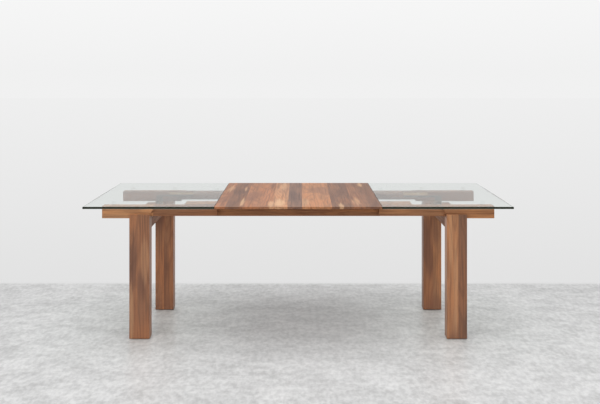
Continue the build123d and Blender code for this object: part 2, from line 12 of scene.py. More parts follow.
import bmesh
import bpy
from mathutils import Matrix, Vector


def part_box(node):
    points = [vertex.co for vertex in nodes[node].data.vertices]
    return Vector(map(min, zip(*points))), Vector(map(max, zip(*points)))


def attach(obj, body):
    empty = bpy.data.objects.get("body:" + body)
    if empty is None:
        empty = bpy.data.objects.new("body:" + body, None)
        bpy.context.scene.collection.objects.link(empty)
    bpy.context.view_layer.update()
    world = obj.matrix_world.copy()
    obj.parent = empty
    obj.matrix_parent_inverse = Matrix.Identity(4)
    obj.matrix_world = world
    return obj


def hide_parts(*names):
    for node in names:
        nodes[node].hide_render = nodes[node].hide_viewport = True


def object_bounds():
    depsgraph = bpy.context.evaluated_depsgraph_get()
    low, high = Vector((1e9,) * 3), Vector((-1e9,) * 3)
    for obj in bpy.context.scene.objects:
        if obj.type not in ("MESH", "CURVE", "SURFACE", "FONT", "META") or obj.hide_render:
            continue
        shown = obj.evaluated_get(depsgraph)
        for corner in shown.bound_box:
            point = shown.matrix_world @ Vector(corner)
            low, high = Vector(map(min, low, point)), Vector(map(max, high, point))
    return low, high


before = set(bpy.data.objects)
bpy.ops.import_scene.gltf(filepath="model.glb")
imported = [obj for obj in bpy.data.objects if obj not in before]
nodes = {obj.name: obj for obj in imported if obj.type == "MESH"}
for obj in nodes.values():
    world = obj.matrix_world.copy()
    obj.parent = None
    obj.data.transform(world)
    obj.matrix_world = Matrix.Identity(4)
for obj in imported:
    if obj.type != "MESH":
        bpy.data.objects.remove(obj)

cad_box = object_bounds()
print("pieces:", len(nodes), "box:", [[round(v, 3) for v in corner] for corner in cad_box])

# %% [markdown]
# ## The camera
# A long table looks calm when its verticals stay vertical. The camera is therefore level, at
# the eye height of someone standing, and the lens is shifted down instead of being tilted, as
# an architect's camera would be.

# %% Set up the camera
EYE = Vector((0.010, -4.935, 1.49))
LENS_MM = 50
SENSOR_MM = 36
LENS_SHIFT = -0.2192         # downwards, as a share of the sensor's width

camera_data = bpy.data.cameras.new("camera")
camera_data.lens = LENS_MM
camera_data.sensor_width = SENSOR_MM
camera_data.shift_y = LENS_SHIFT
camera = bpy.data.objects.new("camera", camera_data)
camera.location = EYE
camera.rotation_euler = (math.pi / 2, 0, 0)
bpy.context.scene.collection.objects.link(camera)
bpy.context.scene.camera = camera
print("camera at", tuple(round(v, 3) for v in EYE), "lens", LENS_MM, "mm")

# %% [markdown]
# ## Shader maths as plain expressions
# A finish is a sum: a stave's tone, darker where the grain is dense, darker again in a pore.
# Wiring that by hand takes dozens of nodes. A small class that wraps a socket lets Python's
# own signs add those nodes, so the formula can be read as a formula. Every other kind of node
# comes from one method that sets its settings first and its sockets second. The same two
# classes serve later on, where nodes make a shape instead of a finish.

# %% A socket that does maths, and the tree that its nodes grow in
class Wire:
    """An output socket. The signs + - * / on it add Math nodes."""

    def __init__(self, tree, socket):
        self.tree = tree
        self.socket = socket

    def __add__(self, other):
        return self.tree.maths("ADD", self, other)

    def __sub__(self, other):
        return self.tree.maths("SUBTRACT", self, other)

    def __rsub__(self, other):
        return self.tree.maths("SUBTRACT", other, self)

    def __mul__(self, other):
        return self.tree.maths("MULTIPLY", self, other)

    def __truediv__(self, other):
        return self.tree.maths("DIVIDE", self, other)

    def __rtruediv__(self, other):
        return self.tree.maths("DIVIDE", other, self)

    __radd__ = __add__
    __rmul__ = __mul__


class Tree:
    """A tree of nodes: a finish has one, and so has a shape that is made by nodes."""

    def __init__(self, block):
        self.block = block

    def node(self, kind, settings=None, inputs=None, out=0):
        """Add a node, set its settings, then feed its sockets."""
        node = self.block.nodes.new(kind)
        for name, value in (settings or {}).items():
            if name == "stops":
                self.set_stops(node.color_ramp, value)
            else:
                setattr(node, name, value)
        for key, value in (inputs or {}).items():
            self.feed(node.inputs[key], value)
        return Wire(self, node.outputs[out])

    def feed(self, socket, value):
        """Give a socket a wire, a list of wires, or a plain value."""
        if isinstance(value, Wire):
            self.block.links.new(value.socket, socket)
        elif isinstance(value, list):
            for wire in value:
                self.block.links.new(wire.socket, socket)
        else:
            socket.default_value = value

    def set_stops(self, ramp, stops):
        """Stops are (position, colour with alpha), in order; each holds until the next one."""
        ramp.interpolation = "CONSTANT"
        while len(ramp.elements) < len(stops):
            ramp.elements.new(1)
        while len(ramp.elements) > len(stops):
            ramp.elements.remove(ramp.elements[-1])
        for element, (position, tone) in zip(ramp.elements, stops):
            element.position = position
            element.color = tone

    def other_output(self, wire, name):
        return Wire(self, wire.socket.node.outputs[name])

    def maths(self, operation, first, second=0.0):
        return self.node("ShaderNodeMath", {"operation": operation}, {0: first, 1: second})

    def vector(self, x, y, z):
        return self.node("ShaderNodeCombineXYZ", inputs={0: x, 1: y, 2: z})


print("a wire adds, subtracts, multiplies and divides")

# %% [markdown]
# A finish needs a few helpers more. It asks where on the piece it is, takes noise at some
# scale, lets one colour give over to another, and hands all of that to one shader.

# %% A finish is a tree for a surface
class Finish(Tree):
    """A material, or the world, and the tree of nodes that it grows."""

    def __init__(self, owner, output="ShaderNodeOutputMaterial"):
        owner.use_nodes = True
        super().__init__(owner.node_tree)
        self.block.nodes.clear()
        self.owner = owner
        self.output = output

    def place(self):
        """The point on the piece, as its three coordinates in metres."""
        where = self.node("ShaderNodeTexCoord", out="Object")
        split = self.node("ShaderNodeSeparateXYZ", inputs={0: where})
        return {axis: self.other_output(split, axis) for axis in "XYZ"}

    def noise(self, x, y, z, detail=2.0, rough=0.5):
        return self.node(
            "ShaderNodeTexNoise",
            {"noise_dimensions": "3D"},
            {"Vector": self.vector(x, y, z), "Scale": 1.0, "Detail": detail, "Roughness": rough},
        )

    def noise_at(self, place, waves, detail=2.0):
        """Noise with its number of waves in a metre along x, y and z."""
        x, y, z = waves
        return self.noise(place["X"] * x, place["Y"] * y, place["Z"] * z, detail)

    def grain(self, side, into, run, scale):
        """Noise that is squeezed across the wood and stretched along it."""
        across, along, detail, rough = scale
        return self.noise(side * across, into * across, run * along, detail, rough)

    def ease(self, value, low, high):
        """0 at low, 1 at high, and a smooth step between."""
        return self.node(
            "ShaderNodeMapRange",
            {"interpolation_type": "SMOOTHSTEP"},
            {0: value, 1: low, 2: high},
        )

    def blend(self, share, first, second, kind="MIX"):
        """Colour first, with a share of colour second over it."""
        # A Mix node has sockets for every kind of value; 6, 7 and output 2 are its colours.
        return self.node(
            "ShaderNodeMix",
            {"data_type": "RGBA", "blend_type": kind},
            {0: share, 6: first, 7: second},
            out=2,
        )

    def bump(self, height, depth):
        return self.node(
            "ShaderNodeBump",
            inputs={"Height": height, "Distance": depth, "Strength": 1.0},
        )

    def seen(self):
        """1 where the eye looks, straight, by gloss or through glass; 0 where light is gathered."""
        eye = self.node("ShaderNodeLightPath", out="Is Camera Ray")
        gloss = self.other_output(eye, "Is Glossy Ray")
        glass = self.other_output(eye, "Is Transmission Ray")
        return self.maths("MINIMUM", eye + gloss + glass, 1.0)

    def surface(self, **inputs):
        """A Principled shader; its sockets are named with _ for a space."""
        return self.node(
            "ShaderNodeBsdfPrincipled",
            inputs={name.replace("_", " "): value for name, value in inputs.items()},
        )

    def mix(self, share, first, second):
        """Shader first, with a share of shader second over it."""
        return self.node("ShaderNodeMixShader", inputs={0: share, 1: first, 2: second})

    def done(self, shader):
        output = self.block.nodes.new(self.output)
        self.feed(output.inputs["Surface"], shader)
        return self.owner


def new_finish(name):
    return Finish(bpy.data.materials.new(name))


def colour(r, g, b, a=1.0):
    return (r, g, b, a)


def dress(name, material):
    """Give a CAD piece its finish."""
    slots = nodes[name].data.materials
    if not slots:
        slots.append(material)
    for number in range(len(slots)):
        slots[number] = material


print("shader tools ready")

# %% [markdown]
# ## Walnut
# The table is glued up from staves of walnut, and each stave has its own tone: mauve brown
# heartwood, red brown, orange brown, and here and there a pale lick of sapwood. A flat brown
# would look like plastic. One function makes the wood for every piece. It is told which way
# the grain runs and where the staves lie, as stops of a ramp. The stop's alpha shifts the
# grain along, so that no stave continues its neighbour's figure.

# %% Tones of walnut
MAUVE = (0.185, 0.098, 0.066)
UMBER = (0.200, 0.092, 0.050)
BROWN = (0.265, 0.118, 0.060)
RUSSET = (0.320, 0.138, 0.066)
TAWNY = (0.370, 0.170, 0.080)
HONEY = (0.430, 0.215, 0.110)
SAPWOOD = (0.660, 0.400, 0.215)

SHIFT_STEP = 0.37            # what a stave's alpha gains on its neighbour's, before it wraps
SHIFT_FIRST = 0.11
SHIFT_METRES = 31.0          # how far along the grain an alpha of 1 would reach


def staves(low, high, *tones):
    """Staves from low to high along one axis: (share where it starts, tone) for each."""
    stops = []
    for number, (share, tone) in enumerate(tones):
        shift = (number * SHIFT_STEP + SHIFT_FIRST) % 1.0
        stops.append((share, colour(*tone, shift)))
    return low, high, stops


print("a first stave:", staves(0.0, 1.0, (0.0, BROWN))[2][0])

# %% [markdown]
# The grain itself is noise that is squeezed across the wood and stretched along it, at six
# scales: broad clouds of tone, rings as the contours of one smooth noise, the figure, streaks,
# fine lines and pores. Each lies as a veil over the one before. A veil dyes the stave's tone,
# which means that it multiplies it, so that a pale stave stays pale and a red one stays red.

# %% Layers, dyes and veils of the grain
WALNUT_GRAIN = {             # waves in a metre across and along, detail, roughness
    "clouds": (8.0, 2.2, 1.0, 0.5),
    "rings": (9.0, 0.9, 1.0, 0.5),
    "figure": (30.0, 1.9, 3.0, 0.55),
    "streaks": (110.0, 3.2, 3.0, 0.6),
    "lines": (420.0, 7.0, 2.0, 0.5),
    "pores": (1500.0, 60.0, 1.0, 0.5),
}
RING_PHASE = 90.0            # radians of the ring wave for a whole step of its noise
FIGURE_EDGE = (0.36, 0.62)   # an edge: where a layer starts to show, and where it is full
PORE_EDGE = (0.60, 0.72)
WARM_DYE = (1.26, 1.16, 1.02)        # where the figure is open
SHADE_DYE = (0.66, 0.63, 0.70)       # in dark clouds
GLOW_DYE = (1.42, 1.24, 1.02)        # in light clouds
DARK_DYE = (0.48, 0.43, 0.45)        # in rings, streaks, lines and pores
VEILS = (                    # layer, its edge, its share at most, its dye
    ("clouds", (0.50, 0.62), 0.85, SHADE_DYE),
    ("clouds", (0.47, 0.36), 0.80, GLOW_DYE),
    ("rings", (0.10, 1.00), 0.30, DARK_DYE),
    ("streaks", (0.46, 0.72), 0.80, DARK_DYE),
    ("lines", (0.40, 0.75), 0.30, DARK_DYE),
)
PORE_SHARE = 0.45
print("veils of the grain:", ", ".join(veil[0] for veil in VEILS))

# %% [markdown]
# Sapwood is pale and has ragged edges, because it follows the figure. Each lick is measured
# from its middle, narrow across the wood and long along it, and the distance is disturbed by
# the figure and the streaks, which frays its edge.

# %% Licks of sapwood
SAP_EDGE = (1.15, 0.25)      # the distance at which a lick starts, and at which it is full
FIGURE_FRAY = 2.0
STREAK_FRAY = 1.6
MIDDLE_OF_NOISE = 0.5


def sapwood_mask(wood, side, along, figure, streaks, licks):
    """Pale flames: (middle across, middle along, half width, half length, strength) for each."""
    fray = (figure - MIDDLE_OF_NOISE) * FIGURE_FRAY + (streaks - MIDDLE_OF_NOISE) * STREAK_FRAY
    most = 0.0
    for middle_side, middle_along, half_side, half_along, strength in licks:
        off_side = wood.maths("ABSOLUTE", (side - middle_side) / half_side)
        off_along = (along - middle_along) / half_along
        far = off_side + off_along * off_along + fray
        most = wood.maths("MAXIMUM", wood.ease(far, *SAP_EDGE) * strength, most)
    return most


print("sapwood tone:", SAPWOOD)

# %% The walnut itself
ROUGH_SPREAD = 0.14          # how much duller the figure can make the wood
PORE_ROUGH = 0.10
PORE_DEPTH = 0.00012
LINE_DEPTH = 0.3             # as a share of a pore's depth


def walnut(name, grain, lies, boards, seed=0.0, sap=(), wild=1.0, rough=0.42, gloss=0.5):
    """Walnut with its grain along one axis, and its boards one after another along lies."""
    wood = new_finish(name)
    place = wood.place()
    side, into = (place[axis] for axis in "XYZ" if axis != grain)
    low, high, stops = boards
    along = (place[lies] - low) / (high - low)
    tone = wood.node("ShaderNodeValToRGB", {"stops": stops}, {0: along})
    run = place[grain] + wood.other_output(tone, "Alpha") * SHIFT_METRES + seed

    layers = {
        kind: wood.grain(side, into, run, scale) for kind, scale in WALNUT_GRAIN.items()
    }
    layers["rings"] = wood.maths("SINE", layers["rings"] * RING_PHASE)
    figure = layers["figure"]
    pores = wood.ease(layers["pores"], *PORE_EDGE)
    dyed = {
        dye: wood.blend(1.0, tone, colour(*dye), "MULTIPLY")
        for dye in (WARM_DYE, SHADE_DYE, GLOW_DYE, DARK_DYE)
    }

    look = wood.blend(wood.ease(figure, *FIGURE_EDGE), dyed[WARM_DYE], tone)
    for kind, edge, share, dye in VEILS:
        if kind == "clouds":         # a wild board has strong clouds, a plain one faint ones
            share = share * wild
        look = wood.blend(wood.ease(layers[kind], *edge) * share, look, dyed[dye])
    if sap:
        pale = sapwood_mask(wood, side, place[grain], figure, layers["streaks"], sap)
        look = wood.blend(pale, look, colour(*SAPWOOD))
    look = wood.blend(pores * PORE_SHARE, look, dyed[DARK_DYE])

    return wood.done(wood.surface(
        Base_Color=look,
        Roughness=figure * ROUGH_SPREAD + (rough - ROUGH_SPREAD / 2) + pores * PORE_ROUGH,
        Specular_IOR_Level=gloss,
        Normal=wood.bump(0.0 - pores - layers["lines"] * LINE_DEPTH, PORE_DEPTH),
    ))


print("layers of grain:", ", ".join(WALNUT_GRAIN))

# %% [markdown]
# ## The leaf
# The leaf's staves run from front to back. Their widths and tones are what the eye reads
# first, so they are listed one by one, and the sapwood licks sit where the boards were cut
# nearest to the bark.

# %% Dress the leaf
LEAF_HALF = 0.45             # half the opening between the plates, which the leaf fills
leaf_boards = staves(
    -LEAF_HALF, LEAF_HALF,
    (0.0, RUSSET), (0.060, UMBER), (0.165, RUSSET), (0.340, HONEY), (0.435, MAUVE),
    (0.520, TAWNY), (0.700, UMBER), (0.830, BROWN), (0.900, UMBER),
)
leaf_sap = (                 # middle across and along, half width, half length, strength
    (-0.105, -0.350, 0.034, 0.200, 0.80),
    (-0.150, -0.390, 0.018, 0.150, 0.60),
    (-0.309, -0.290, 0.017, 0.170, 0.62),
    (-0.320, 0.190, 0.010, 0.110, 0.45),
    (-0.414, 0.200, 0.024, 0.170, 0.38),
    (-0.090, 0.300, 0.024, 0.200, 0.35),
    (0.040, -0.330, 0.024, 0.200, 0.35),
    (0.234, -0.430, 0.017, 0.110, 0.62),
    (0.326, -0.280, 0.026, 0.170, 0.35),
    (0.390, 0.380, 0.018, 0.130, 0.60),
)
LEAF_SEED = 3.1
BATTEN_SEED = 7.7
batten_boards = staves(-LEAF_HALF, LEAF_HALF, (0.0, BROWN))

leaf_wood = walnut(
    "walnut_leaf", "Y", "X", leaf_boards, LEAF_SEED, leaf_sap, wild=0.75, gloss=0.35
)
dress("leaf_panel", leaf_wood)
dress("leaf_battens", walnut("walnut_battens", "Y", "X", batten_boards, BATTEN_SEED))
print("leaf: staves", len(leaf_boards[2]), "licks of sapwood", len(leaf_sap))

# %% [markdown]
# ## Legs, arms and crossbeams
# A leg is glued up from two boards that stand on end. Each leg gets its own tones, because
# four equal legs would give the trick away. An arm is two boards, joined end to end close to
# the leg, with the grain along the table. The crossbeams run from leg to leg. The long pieces
# under the glass are planed but hardly polished, so they are calmer and duller than the legs.

# %% Dress the legs
LEG_SEED, LEG_STEP = 11.3, 2.9       # where the first leg lies in the noise, and the step on
legs = {
    "front_left_leg": [(0.0, BROWN), (0.40, BROWN)],
    "front_right_leg": [(0.0, TAWNY), (0.57, UMBER)],
    "rear_left_leg": [(0.0, RUSSET), (0.48, RUSSET)],
    "rear_right_leg": [(0.0, RUSSET), (0.55, TAWNY)],
}
leg_sap = {                  # as for the leaf, with the grain standing on end
    "front_left_leg": (
        (-0.850, 0.430, 0.026, 0.150, 0.16),
        (-0.924, 0.120, 0.014, 0.220, 0.25),
    ),
    "front_right_leg": (
        (0.872, 0.240, 0.014, 0.330, 0.22),
        (0.846, 0.560, 0.012, 0.200, 0.20),
    ),
}


def dress_boards(name, tones, grain, lies, seed, **finish):
    """Dress a piece in boards that share out its own size along one axis."""
    low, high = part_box(name)
    axis = "XYZ".index(lies)
    boards = staves(low[axis], high[axis], *tones)
    dress(name, walnut("walnut_" + name, grain, lies, boards, seed, **finish))


for number, (name, tones) in enumerate(legs.items()):
    sap = leg_sap.get(name, ())
    dress_boards(name, tones, "Z", "X", LEG_SEED + LEG_STEP * number, sap=sap)
print("legs dressed:", len(legs))

# %% Dress the frame under the glass
PLANED = {"wild": 0.6, "rough": 0.6, "gloss": 0.2}
ARM_SEED, ARM_STEP = 23.9, 3.7
SLIDE_SEED, SLIDE_STEP = 41.0, 5.3
BEAM_SEED, BEAM_STEP = 53.0, 4.1

arms = {
    "front_left_arm": [(0.0, HONEY), (0.44, BROWN)],
    "front_right_arm": [(0.0, TAWNY), (0.56, TAWNY)],
    "rear_left_arm": [(0.0, BROWN), (0.52, MAUVE)],
    "rear_right_arm": [(0.0, MAUVE), (0.48, BROWN)],
}
for number, (name, tones) in enumerate(arms.items()):
    dress_boards(name, tones, "X", "X", ARM_SEED + ARM_STEP * number, **PLANED)

slides = {"front_centre_slide": TAWNY, "rear_centre_slide": MAUVE}
for number, (name, tone) in enumerate(slides.items()):
    dress_boards(name, [(0.0, tone)], "X", "Z", SLIDE_SEED + SLIDE_STEP * number, **PLANED)

beams = ("left_crossbeam", "right_crossbeam", "left_centre_tie", "right_centre_tie")
for number, name in enumerate(beams):
    dress_boards(name, [(0.0, BROWN)], "Y", "Z", BEAM_SEED + BEAM_STEP * number, **PLANED)
print("frame: arms", len(arms), "slides", len(slides), "crossbeams and ties", len(beams))

# %% [markdown]
# ## Beech
# The runners and dowels are beech, waxed to a light brown, with short dark flecks. It is hard
# and slides well, so furniture makers use it where walnut would wear.

# %% Dress the runners and dowels
BEECH_LIGHT = (0.46, 0.29, 0.16)
BEECH_DARK = (0.36, 0.21, 0.11)
BEECH_FLECK = (0.22, 0.12, 0.06)
BEECH_GRAIN = {              # as for walnut
    "flecks": (700.0, 90.0, 1.0, 0.5),
    "bands": (60.0, 3.0, 3.0, 0.5),
}
FLECK_EDGE = (0.58, 0.70)
FLECK_SHARE = 0.6
FLECK_DEPTH = 0.00008
BEECH_ROUGH = 0.38
BAND_ROUGH = 0.15            # what a band adds to it


def beech(name, grain):
    wood = new_finish(name)
    place = wood.place()
    side, into = (place[axis] for axis in "XYZ" if axis != grain)
    flecks = wood.grain(side, into, place[grain], BEECH_GRAIN["flecks"])
    flecks = wood.ease(flecks, *FLECK_EDGE)
    bands = wood.grain(side, into, place[grain], BEECH_GRAIN["bands"])
    look = wood.blend(bands, colour(*BEECH_LIGHT), colour(*BEECH_DARK))
    look = wood.blend(flecks * FLECK_SHARE, look, colour(*BEECH_FLECK))
    return wood.done(wood.surface(
        Base_Color=look,
        Roughness=bands * BAND_ROUGH + BEECH_ROUGH,
        Normal=wood.bump(0.0 - flecks, FLECK_DEPTH),
    ))


beech_grain = {"_slide_runner": "X", "_arm_dowels": "Z"}
for name in nodes:
    for ending, grain in beech_grain.items():
        if name.endswith(ending):
            dress(name, beech("beech_" + name, grain))
print("beech pieces dressed")

# %% [markdown]
# ## Glass
# The plates are twelve millimetres of clear glass. Seen from a low angle the surface mirrors
# the wall and veils what lies under it. A plate with an anti-reflective coat does so less than
# a bare one, and a low index of refraction gives that weaker mirror. Light has to get through
# to the floor, so shadow rays meet plain tinted transparency instead. The ground rim is
# another matter: there one looks into a metre of glass, and it turns dark green, so the rim
# gets a dark shader by a mask that is measured from the plate's outline.

# %% Glass for the eye, an open way for light
GLASS_IOR = 1.16
PLATE_TINT = (0.930, 0.965, 0.945)
SPACER_TINT = (0.96, 0.97, 0.965)
SPACER_OPENNESS = 0.85       # how much of a small disc is seen straight through


def clear(finish, tint, openness=0.0):
    """Glass for the eye, tinted transparency for light on its way to the floor."""
    glass = finish.surface(
        Base_Color=colour(*tint), Roughness=0.0, IOR=GLASS_IOR, Transmission_Weight=1.0
    )
    open_way = finish.node("ShaderNodeBsdfTransparent", inputs={0: colour(*tint)})
    shadow = finish.node("ShaderNodeLightPath", out="Is Shadow Ray")
    diffuse = finish.other_output(shadow, "Is Diffuse Ray")
    share = finish.maths("MAXIMUM", finish.maths("MAXIMUM", shadow, diffuse), openness)
    return finish.mix(share, glass, open_way)


def spacer_clear():
    disc = new_finish("clear_spacer")
    return disc.done(clear(disc, SPACER_TINT, openness=SPACER_OPENNESS))


spacer_finish = spacer_clear()
print("spacers:", spacer_finish.name)

# %% Dress the plates and spacers
TOP_HALF_LENGTH = cad_box[1][0]
TOP_HALF_DEPTH = cad_box[1][1]
PLATE_LOW, PLATE_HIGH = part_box("right_glass_plate")
GLASS_MIDDLE_Z = (PLATE_LOW.z + PLATE_HIGH.z) / 2
RIM = 0.0016                 # how far in from the outline a surface still counts as rim
GROUND_HALF = 0.0055         # half the height of the ground rim, between its polished bevels
RIM_DARK = (0.009, 0.013, 0.006)
RIM_LIGHT = (0.018, 0.026, 0.013)
RIM_WAVES = (9.0, 9.0, 240.0)        # of its noise, in a metre along x, y and z
RIM_ROUGH = 0.22
RIM_ROUGH_SPREAD = 0.08
RIM_GLOSS = 0.22


def plate_glass():
    """Both plates share it, because the outline is the same in x and -x."""
    glass = new_finish("clear_glass")
    place = glass.place()
    x = glass.maths("ABSOLUTE", place["X"])
    y = glass.maths("ABSOLUTE", place["Y"])
    past_ends = glass.maths(
        "MAXIMUM", x - (TOP_HALF_LENGTH - RIM), (PLATE_LOW.x + RIM) - x
    )
    past = glass.maths("MAXIMUM", past_ends, y - (TOP_HALF_DEPTH - RIM))
    from_middle = glass.maths("ABSOLUTE", place["Z"] - GLASS_MIDDLE_Z)
    in_ground_band = glass.maths("LESS_THAN", from_middle, GROUND_HALF)
    rim = glass.maths("GREATER_THAN", past, 0.0) * in_ground_band
    outside = 1.0 - glass.node("ShaderNodeNewGeometry", out="Backfacing")
    edge_tone = glass.noise_at(place, RIM_WAVES)
    edge = glass.surface(
        Base_Color=glass.blend(edge_tone, colour(*RIM_DARK), colour(*RIM_LIGHT)),
        Roughness=edge_tone * RIM_ROUGH_SPREAD + RIM_ROUGH,
        Specular_IOR_Level=RIM_GLOSS,
    )
    return glass.done(glass.mix(rim * outside, clear(glass, PLATE_TINT), edge))


glass_finish = plate_glass()
for end in ("left", "right"):
    dress(end + "_glass_plate", glass_finish)
    dress(end + "_glass_spacers", spacer_finish)
print("glass dressed; half the top:", round(TOP_HALF_LENGTH, 4), round(TOP_HALF_DEPTH, 4))

# %% [markdown]
# ## Metal and nylon
# Under the top, racks and brackets are blackened steel, screws and axles are zinc-plated, and
# the pinions are brass. Rolled and plated steel is never quite even: it has a faint lengthwise
# brushing, and cloudy patches that show in the roughness more than in the colour. The glides
# are black nylon with a fine moulded texture.

# %% Finishes of metal and nylon
ZINC = ((0.62, 0.63, 0.65), (0.50, 0.50, 0.52))              # light and shade of each metal
BLACKENED = ((0.105, 0.075, 0.055), (0.065, 0.047, 0.036))
BRASS = ((0.80, 0.60, 0.28), (0.62, 0.44, 0.20))
NYLON_DARK = (0.030, 0.027, 0.025)
NYLON_SCUFFED = (0.060, 0.055, 0.050)
BRUSHED_WAVES = (30.0, 900.0, 900.0)     # in a metre along x, y and z
CLOUD_WAVES = (45.0, 45.0, 45.0)
GRIT_WAVES = (1400.0, 1400.0, 1400.0)
SCUFF_WAVES = (120.0, 120.0, 120.0)
BRUSHED_ROUGH = 0.10         # what brushing, clouds and scuffs do to the roughness
CLOUD_ROUGH = 0.16
SCUFF_ROUGH = 0.20
NYLON_ROUGH = 0.45
BRUSHED_DEPTH = 0.00002
GRIT_DEPTH = 0.00006


def metal(name, tones, rough, metallic=1.0):
    plate = new_finish(name)
    place = plate.place()
    light, shade = tones
    brushed = plate.noise_at(place, BRUSHED_WAVES)
    clouds = plate.noise_at(place, CLOUD_WAVES, detail=4.0)
    least = rough - (CLOUD_ROUGH + BRUSHED_ROUGH) / 2
    return plate.done(plate.surface(
        Base_Color=plate.blend(clouds, colour(*light), colour(*shade)),
        Metallic=metallic,
        Roughness=clouds * CLOUD_ROUGH + brushed * BRUSHED_ROUGH + least,
        Normal=plate.bump(brushed, BRUSHED_DEPTH),
    ))


def nylon():
    foot = new_finish("nylon")
    place = foot.place()
    grit = foot.noise_at(place, GRIT_WAVES)
    scuff = foot.noise_at(place, SCUFF_WAVES, detail=4.0)
    return foot.done(foot.surface(
        Base_Color=foot.blend(scuff, colour(*NYLON_DARK), colour(*NYLON_SCUFFED)),
        Roughness=scuff * SCUFF_ROUGH + NYLON_ROUGH,
        Normal=foot.bump(grit, GRIT_DEPTH),
    ))


steel_finish = metal("zinc_steel", ZINC, 0.34)
dark_finish = metal("blackened_steel", BLACKENED, 0.60, metallic=0.2)
brass_finish = metal("brass", BRASS, 0.30)
nylon_finish = nylon()
print("finishes:", steel_finish.name, dark_finish.name, brass_finish.name, nylon_finish.name)

# %% Dress metal and nylon
finish_by_ending = {
    "_rack": dark_finish,
    "_rack_bracket": dark_finish,
    "_axle": steel_finish,
    "_washer": steel_finish,
    "_pinion": brass_finish,
    "_locating_pins": brass_finish,
    "_leg_glides": nylon_finish,
}
for name in nodes:
    for ending, finish in finish_by_ending.items():
        if name.endswith(ending):
            dress(name, finish)
print("metal and nylon dressed")

# %% [markdown]
# ## Screws
# Twenty-eight wood screws hold the runners, brackets and ties. In CAD each is a plain head on
# a plain shank. Here each gets a tapered head, and a thread on a shank that narrows to its
# tip. They repeat, so Geometry Nodes make them: one screw is built in the tree, placed on
# points that say where each head sits and which way it faces, and then realized as plain mesh.

# %% Where the CAD screws sit
HEAD_REACH = 0.003           # a point farther than this from the screw's axis is on its head
SAME_POINT = 1e-6


def loose_parts(name):
    """The separate solids of a CAD piece, each as its list of points, always in one order."""
    mesh = bmesh.new()
    mesh.from_mesh(nodes[name].data)
    bmesh.ops.remove_doubles(mesh, verts=mesh.verts, dist=SAME_POINT)
    found, parts = set(), []
    for start in mesh.verts:
        if start in found:
            continue
        found.add(start)
        edge, part = [start], []
        while edge:
            vert = edge.pop()
            part.append(vert.co.copy())
            for link in vert.link_edges:
                other = link.other_vert(vert)
                if other not in found:
                    found.add(other)
                    edge.append(other)
        parts.append(part)
    mesh.free()
    return parts


def screw_seats(name, way):
    """For each screw: the middle of its head's face, the way that it faces, its length."""
    seats = []
    way = Vector(way)
    axis = max(range(3), key=lambda k: way[k])
    for part in loose_parts(name):
        middle = sum(part, Vector()) / len(part)
        low = min(point[axis] for point in part)
        high = max(point[axis] for point in part)
        head = []
        for point in part:
            from_axis = point - middle - way * (point[axis] - middle[axis])
            if from_axis.length > HEAD_REACH:
                head.append(point[axis])
        head_high = sum(head) / len(head) > (low + high) / 2
        middle[axis] = high if head_high else low
        seats.append((middle, way if head_high else -way, high - low))
    return seats


screw_groups = {
    "left_runner_screws": ((0, 1, 0), "left_end"),
    "right_runner_screws": ((0, 1, 0), "right_end"),
    "left_bracket_screws": ((0, 0, 1), "left_end"),
    "right_bracket_screws": ((0, 0, 1), "right_end"),
    "tie_screws": ((0, 1, 0), "centre_frame"),
}
seats = {name: screw_seats(name, way) for name, (way, body) in screw_groups.items()}
print({name: len(found) for name, found in seats.items()})

# %% [markdown]
# The tree has three parts. A cone frustum is the head. Two crossed bars are meant to cut a
# recess into it, but the head's face stays closed over them, so the recess doesn't show. A
# narrower frustum is the shank, with a spiral ridge swept round it for the thread. Everything
# is then joined, instanced on the seats, turned to face out, and realized.

# %% The head and the shank of a screw
SCREW_SIZES = {"Head radius": 0.004, "Head height": 0.0024, "Shank radius": 0.0019, "Length": 0.04}
HEAD_SIDES = 28
HEAD_TAPER = 0.62            # the underside's radius, as a share of the face's
RECESS_LENGTH = 1.15         # a bar of the cross, in shares of the head's radius
RECESS_WIDTH = 0.24
SHANK_SIDES = 14
SHANK_TOP = 0.78             # radii of the shank, in shares of the shank radius
SHANK_TIP = 0.20
THREAD_TIP = 0.35            # radii of the path that the ridge is swept along
THREAD_TOP = 0.80
THREAD_RIDGE = 0.20
THREAD_TURNS = 9.0
THREAD_STEPS = 12            # points in a turn
THREAD_LENGTH = 0.9          # as a share of the shank's length
THREAD_START = 0.98          # as a share of the screw's length, down from its face


def lowered(tree, shape, depth):
    """The shape, moved down along the screw."""
    down = tree.vector(0.0, 0.0, depth * -1.0)
    return tree.node("GeometryNodeTransform", inputs={"Geometry": shape, "Translation": down})


def frustum(tree, sides, top, bottom, depth):
    return tree.node("GeometryNodeMeshCone", inputs={
        "Vertices": sides, "Radius Top": top, "Radius Bottom": bottom, "Depth": depth,
    })


def screw_head(tree, radius, height):
    """A tapered head, its face at height 0; the cross below the face doesn't open it."""
    cone = frustum(tree, HEAD_SIDES, radius, radius * HEAD_TAPER, height)
    long, wide = radius * RECESS_LENGTH, radius * RECESS_WIDTH
    bars = [
        tree.node("GeometryNodeMeshCube", inputs={"Size": tree.vector(x, y, height)})
        for x, y in ((long, wide), (wide, long))
    ]
    cross = tree.node("GeometryNodeJoinGeometry", inputs={0: bars})
    return tree.node(
        "GeometryNodeMeshBoolean",
        {"operation": "DIFFERENCE"},
        {"Mesh 1": lowered(tree, cone, height), "Mesh 2": cross},
    )


